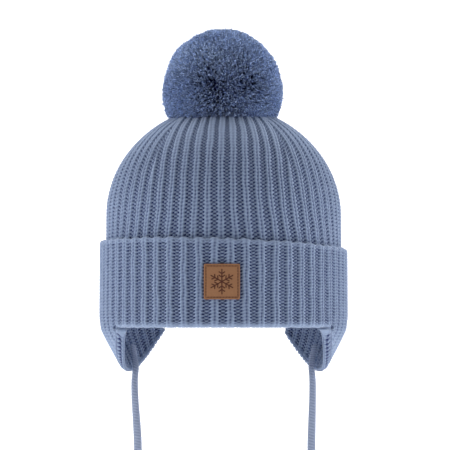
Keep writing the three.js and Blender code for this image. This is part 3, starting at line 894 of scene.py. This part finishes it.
def make_pompom(material, fibre_material):
    """The cut yarn: thousands of three-sided tufts that stand out from the middle of the ball. Their
    ways are drawn apart and together by slow waves, which leaves partings between clumps."""
    pompom = bpy.context.scene.hat_pompom
    draw = np.random.default_rng(pompom.seed)
    centre = np.array(POMPOM_CENTRE)
    way = unit(spiral(pompom.tufts) + draw.normal(0, 0.012, (pompom.tufts, 3)))
    push = np.zeros_like(way)
    for _ in range(26):
        push += slow_wave(draw, way, 5, 15)[:, None] * unit(draw.normal(size=3)) / 26
    way = unit(way + 0.15 * push)
    doubled = draw.uniform(size=len(way)) < hang(way) / pompom.fringe
    way = np.concatenate([way, unit(way[doubled] + draw.normal(0, 0.012, (doubled.sum(), 3)))])
    push = np.concatenate([push, push[doubled]])
    lean = unit(way + draw.normal(0, 0.07, way.shape) + 0.5 * push)
    clump = sum(slow_wave(draw, way, 9, 24) / 18 for _ in range(18))
    reach = pompom.radius + hang(lean) + draw.normal(0, 0.55, len(way)) * MM + 1.7 * MM * clump
    stretch = np.array([1, 1, pompom.tallness])
    free = dome_distance(centre, lean, RAY_LENGTH) - 0.4 * MM
    reach = np.minimum(reach, free)
    kept = (reach > LEAST_REACH) & (free > LEAST_REACH)
    way, lean, reach = way[kept], lean[kept], reach[kept]
    tips = centre + lean * reach[:, None] * stretch
    deep = np.minimum(reach * 0.74, dome_distance(centre, way, RAY_LENGTH) - 1.5 * MM)
    roots = centre + way * deep[:, None] * stretch

    count = len(tips)
    axis = unit(tips - roots)
    side = unit(np.cross(axis, draw.normal(size=(count, 3))))
    other = np.cross(axis, side)
    turn = np.radians([0, 120, 240])
    ring = np.cos(turn)[None, :, None] * side[:, None] + np.sin(turn)[None, :, None] * other[:, None]
    thick = pompom.yarn * draw.uniform(0.7, 1.3, count)[:, None, None]
    end = tips[:, None] + ring * thick + draw.normal(0, 0.2, (count, 3, 1)) * MM * axis[:, None]
    points = np.concatenate([roots[:, None], end, end], 1)
    faces = copied_faces([[2, 1, 0], [3, 2, 0], [1, 3, 0], [4, 5, 6]], count, 7)
    # Painted shade: the tip share is 0 at a tuft's root, deep in the ball, 1 at the ends of its sides and
    # 0.28 on its cut end cap, which darkens the cap
    tip = np.tile([0.0, 1, 1, 1, 0.28, 0.28, 0.28], count)
    mood = np.repeat(np.clip(0.5 + 0.22 * draw.normal(size=count), 0, 1), 7)
    piece = make_piece("pompom_yarn", points, [faces], material, tip=tip, mood=mood)
    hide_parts("pompom")

    fibres = draw.permutation(count)[:pompom.fibres]
    stray = unit(axis[fibres] + draw.normal(0, 0.35, (len(fibres), 3)))
    length = draw.uniform(1.3, 3.0, len(fibres))[:, None] * MM
    start = tips[fibres] - 0.8 * MM * axis[fibres]
    base = start[:, None] + ring[fibres] * 0.13 * MM
    points = np.concatenate([base, (start + stray * length)[:, None]], 1)
    faces = copied_faces([[0, 1, 3], [1, 2, 3], [2, 0, 3], [0, 2, 1]], len(fibres), 4)
    tip = np.tile([0.9, 0.9, 0.9, 1], len(fibres))
    mood = np.repeat(draw.uniform(0.5, 1, len(fibres)), 4)
    piece = make_piece("pompom_fibres", points, [faces], fibre_material, tip=tip, mood=mood)


def new_material(name, roughness, sheen, sheen_tint=(1, 1, 1, 1), specular=0.3):
    """A material and its shader, with the numbers that are the same all over set on the shader."""
    material = bpy.data.materials.new(name)
    material.use_nodes = True
    shader = material.node_tree.nodes["Principled BSDF"]
    uniform = {"Roughness": roughness, "Sheen Weight": sheen, "Sheen Roughness": 0.4,
               "Sheen Tint": sheen_tint, "Specular IOR Level": specular}
    for key, value in uniform.items():
        shader.inputs[key].default_value = value
    return material, shader


def add_node(material, kind, values=None, links=None):
    """A node with some of its inputs set and others linked."""
    node = material.node_tree.nodes.new(kind)
    for key, value in (values or {}).items():
        if isinstance(key, str) and hasattr(node, key):
            setattr(node, key, value)
        else:
            node.inputs[key].default_value = value
    for key, output in (links or {}).items():
        material.node_tree.links.new(output, node.inputs[key])
    return node


def attribute(material, name):
    """The value that a piece's points carry under a name."""
    return add_node(material, "ShaderNodeAttribute", {"attribute_name": name}).outputs["Fac"]


def noise(material, scale, detail):
    """Noise in the piece's own space, whose grains are one over the scale in metres."""
    place = add_node(material, "ShaderNodeTexCoord").outputs["Object"]
    node = add_node(material, "ShaderNodeTexNoise", {"Scale": scale, "Detail": detail}, {"Vector": place})
    return node.outputs["Fac"]


def mixed(material, factor, first, second):
    """Two colours mixed by a factor. Each may be a colour or the output of a node."""
    node = material.node_tree.nodes.new("ShaderNodeMix")
    node.data_type = "RGBA"
    for socket, value in (("Factor_Float", factor), ("A_Color", first), ("B_Color", second)):
        target = next(entry for entry in node.inputs if entry.identifier == socket)
        if isinstance(value, bpy.types.NodeSocket):
            material.node_tree.links.new(value, target)
        else:
            target.default_value = (*value, 1)
    return next(entry for entry in node.outputs if entry.identifier == "Result_Color")


def lightened(material, colour_output, value, low, high):
    """A colour times a number that runs from low to high as the value runs from 0 to 1."""
    times = add_node(material, "ShaderNodeMapRange", {"To Min": low, "To Max": high}, {"Value": value})
    node = add_node(material, "ShaderNodeHueSaturation", None,
                    {"Color": colour_output, "Value": times.outputs["Result"]})
    return node.outputs["Color"]


def raised(material, shader, value, distance, strength):
    """Fine relief that is only in the light: fibres and grain."""
    bump = add_node(material, "ShaderNodeBump", {"Distance": distance, "Strength": strength},
                    {"Height": value})
    material.node_tree.links.new(bump.outputs["Normal"], shader.inputs["Normal"])


def wool_material(name, crest, hollow):
    """Matt wool with painted shade: light on the stitches and darkened in the gaps where shade falls,
    with a heather mottle and fibres.
    """
    material, shader = new_material(name, 0.95, 0.25, (1, 0.98, 0.95, 1), 0.08)
    # Painted shade: the colour darkens toward the hollow shade colour where the points' shade is high
    depth = attribute(material, "hollow")
    base = mixed(material, depth, crest, hollow)
    base = lightened(material, base, noise(material, 900, 3), 0.8, 1.2)
    material.node_tree.links.new(base, shader.inputs["Base Color"])
    raised(material, shader, noise(material, 2600, 4), 0.25 * MM, 0.5)
    return material


def yarn_material(name, tip_colour, root_colour):
    """The pompom's yarn: painted shade darkens it where the tip share is low, toward the roots deep in
    the ball and on the cut end caps; it is light at the tips of its sides, and each tuft a tone of its
    own.
    """
    material, shader = new_material(name, 1.0, 0.0, specular=0.05)
    near_end = add_node(material, "ShaderNodeMath", {"operation": "POWER", 1: 1.8},
                        {0: attribute(material, "tip")}).outputs["Value"]
    base = mixed(material, near_end, root_colour, tip_colour)
    base = lightened(material, base, attribute(material, "mood"), 0.55, 1.45)
    material.node_tree.links.new(base, shader.inputs["Base Color"])
    raised(material, shader, noise(material, 2600, 3), 0.2 * MM, 0.4)
    return material


def leather_material(leather, burn):
    """Smooth tan leather with a fine grain and mottle, dark where a line is burned in."""
    material, shader = new_material("tan_leather", 0.62, 0.0, specular=0.35)
    base = lightened(material, mixed(material, noise(material, 160, 4), leather,
                                     tuple(0.82 * part for part in leather)),
                     noise(material, 900, 4), 0.88, 1.12)
    base = mixed(material, attribute(material, "burn"), base, burn)
    material.node_tree.links.new(base, shader.inputs["Base Color"])
    raised(material, shader, noise(material, 1900, 5), 0.12 * MM, 0.5)
    return material


def wool():
    """The knit's material, made once."""
    colours = bpy.context.scene.hat_colours
    found = bpy.data.materials.get("rib_wool")
    return found or wool_material("rib_wool", tuple(colours.wool), tuple(colours.hollow))


class HAT_OT_stage(bpy.types.Operator):
    """Sets up the camera, the pale sweep and the soft lights"""

    bl_idname = "hat.stage"
    bl_label = "Camera, sweep and lights"

    def execute(self, context):
        make_camera()
        make_sweep()
        make_lights()
        return {"FINISHED"}


class HAT_OT_ties(bpy.types.Operator):
    """Makes the two knitted ties with their knots"""

    bl_idname = "hat.ties"
    bl_label = "Ties"

    def execute(self, context):
        colours = context.scene.hat_colours
        material = wool_material("cord_wool", tuple(colours.cord), tuple(colours.hollow))
        for side in ("left", "right"):
            knot = make_knot(side, material)
            tie, path, length = make_tie(side, material)
        return {"FINISHED"}


class HAT_OT_crown(bpy.types.Operator):
    """Knits the crown, outside and inside"""

    bl_idname = "hat.crown"
    bl_label = "Crown"

    def execute(self, context):
        material = wool()
        pieces = [
            make_crown_half("crown_front", -HALF_COUNT / 2, material),
            make_crown_half("crown_back", HALF_COUNT / 2, material),
            make_crown_inside(material),
        ]
        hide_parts("crown")
        return {"FINISHED"}


class HAT_OT_cuff(bpy.types.Operator):
    """Knits the turned-up cuff"""

    bl_idname = "hat.cuff"
    bl_label = "Cuff"

    def execute(self, context):
        material = wool()
        pieces = [
            make_cuff_half("cuff_front", -HALF_COUNT / 2, material),
            make_cuff_half("cuff_back", HALF_COUNT / 2, material),
        ]
        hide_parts("cuff")
        return {"FINISHED"}


class HAT_OT_flaps(bpy.types.Operator):
    """Knits the two ear flaps"""

    bl_idname = "hat.flaps"
    bl_label = "Ear flaps"

    def execute(self, context):
        for side in ("left", "right"):
            make_flap(side, wool())
        return {"FINISHED"}


class HAT_OT_patch(bpy.types.Operator):
    """Makes the leather patch"""

    bl_idname = "hat.patch"
    bl_label = "Patch"

    def execute(self, context):
        colours = context.scene.hat_colours
        make_patch(leather_material(tuple(colours.leather), tuple(colours.burn)))
        return {"FINISHED"}


class HAT_OT_pompom(bpy.types.Operator):
    """Makes the pompom's head and its cut yarn"""

    bl_idname = "hat.pompom"
    bl_label = "Pompom"

    def execute(self, context):
        colours = context.scene.hat_colours
        material = yarn_material("cut_yarn", tuple(colours.yarn_tip), tuple(colours.yarn_root_shade))
        fibres = yarn_material("stray_fibre", tuple(colours.fibre), tuple(colours.yarn_tip))
        make_pompom_head(material)
        make_pompom(material, fibres)
        return {"FINISHED"}


class HAT_PT_panel(bpy.types.Panel):
    """The hat's sizes, colours and pieces"""

    bl_idname = "HAT_PT_panel"
    bl_label = "Tie-up wool hat"
    bl_space_type = "VIEW_3D"
    bl_region_type = "UI"
    bl_category = "Hat"

    def draw(self, context):
        for name in GROUPS:
            group = getattr(context.scene, name)
            box = self.layout.box()
            for key in group.__annotations__:
                box.prop(group, key)
        for operator in OPERATORS:
            self.layout.operator(operator.bl_idname)


GROUPS = {
    "hat_knit": HatKnit,
    "hat_pompom": HatPompom,
    "hat_ties": HatTies,
    "hat_patch": HatPatch,
    "hat_colours": HatColours,
}
OPERATORS = (
    HAT_OT_stage,
    HAT_OT_ties,
    HAT_OT_crown,
    HAT_OT_cuff,
    HAT_OT_flaps,
    HAT_OT_patch,
    HAT_OT_pompom,
)


def make_camera():
    """A camera at the photo's angle: level with the rim and tilted up a little."""
    data = bpy.data.cameras.new("camera")
    data.lens = CAMERA_LENS
    data.sensor_width = 36
    camera = bpy.data.objects.new("camera", data)
    camera.location = CAMERA_PLACE
    camera.rotation_euler = (math.radians(90 + CAMERA_TILT), 0, 0)
    bpy.context.scene.collection.objects.link(camera)
    bpy.context.scene.camera = camera
    bpy.context.scene.view_settings.view_transform = "Standard"


def make_sweep():
    """A pale sweep: a floor that curves up into a wall behind, as a profile carried sideways."""
    bend = np.linspace(0, np.pi / 2, 13)
    y = np.concatenate([[-3.0], 0.9 + 0.6 * np.sin(bend), [1.5]])
    z = np.concatenate([[0], 0.6 * (1 - np.cos(bend)), [3.2]]) + FLOOR_HEIGHT
    x = np.array([-3.0, 3.0])
    points = grid_of(x[None, :], y[:, None], z[:, None])
    material, shader = new_material("sweep_paper", 0.9, 0.0, specular=0.1)
    shader.inputs["Base Color"].default_value = (0.92, 0.92, 0.93, 1)
    shader.inputs["Emission Color"].default_value = (1, 1, 1, 1)
    shader.inputs["Emission Strength"].default_value = 0.3
    sweep = make_piece("sweep", points, [grid_faces(len(y), 2)], material, body=None)


def add_light(name, place, target, width, power):
    """A square soft light that faces a target."""
    data = bpy.data.lights.new(name, "AREA")
    data.size = width
    data.energy = power
    light = bpy.data.objects.new(name, data)
    light.location = place
    away = np.array(target) - np.array(place)
    flat = math.hypot(away[0], away[1])
    light.rotation_euler = (math.atan2(flat, -away[2]), 0, math.atan2(away[1], away[0]) - math.pi / 2)
    bpy.context.scene.collection.objects.link(light)


def make_lights():
    """A pale world, soft lights at both sides, before, behind and above the hat, and one on the wall."""
    world = bpy.data.worlds.new("studio")
    world.use_nodes = True
    background = world.node_tree.nodes["Background"]
    background.inputs["Color"].default_value = (1, 1, 1, 1)
    background.inputs["Strength"].default_value = 0.2
    bpy.context.scene.world = world
    for name, (place, width, power) in LIGHTS.items():
        add_light(name, place, WALL_TARGET if name == "wall" else LIGHT_TARGET, width, power)


def register():
    for entry in (*GROUPS.values(), *OPERATORS, HAT_PT_panel):
        bpy.utils.register_class(entry)
    for name, group in GROUPS.items():
        setattr(bpy.types.Scene, name, PointerProperty(type=group))


def unregister():
    for name in GROUPS:
        delattr(bpy.types.Scene, name)
    for entry in reversed((*GROUPS.values(), *OPERATORS, HAT_PT_panel)):
        bpy.utils.unregister_class(entry)


def main():
    """Registers the add-on and makes every piece with its operators."""
    register()
    for operator in OPERATORS:
        group, name = operator.bl_idname.split(".")
        getattr(getattr(bpy.ops, group), name)()


if __name__ == "__main__":
    main()
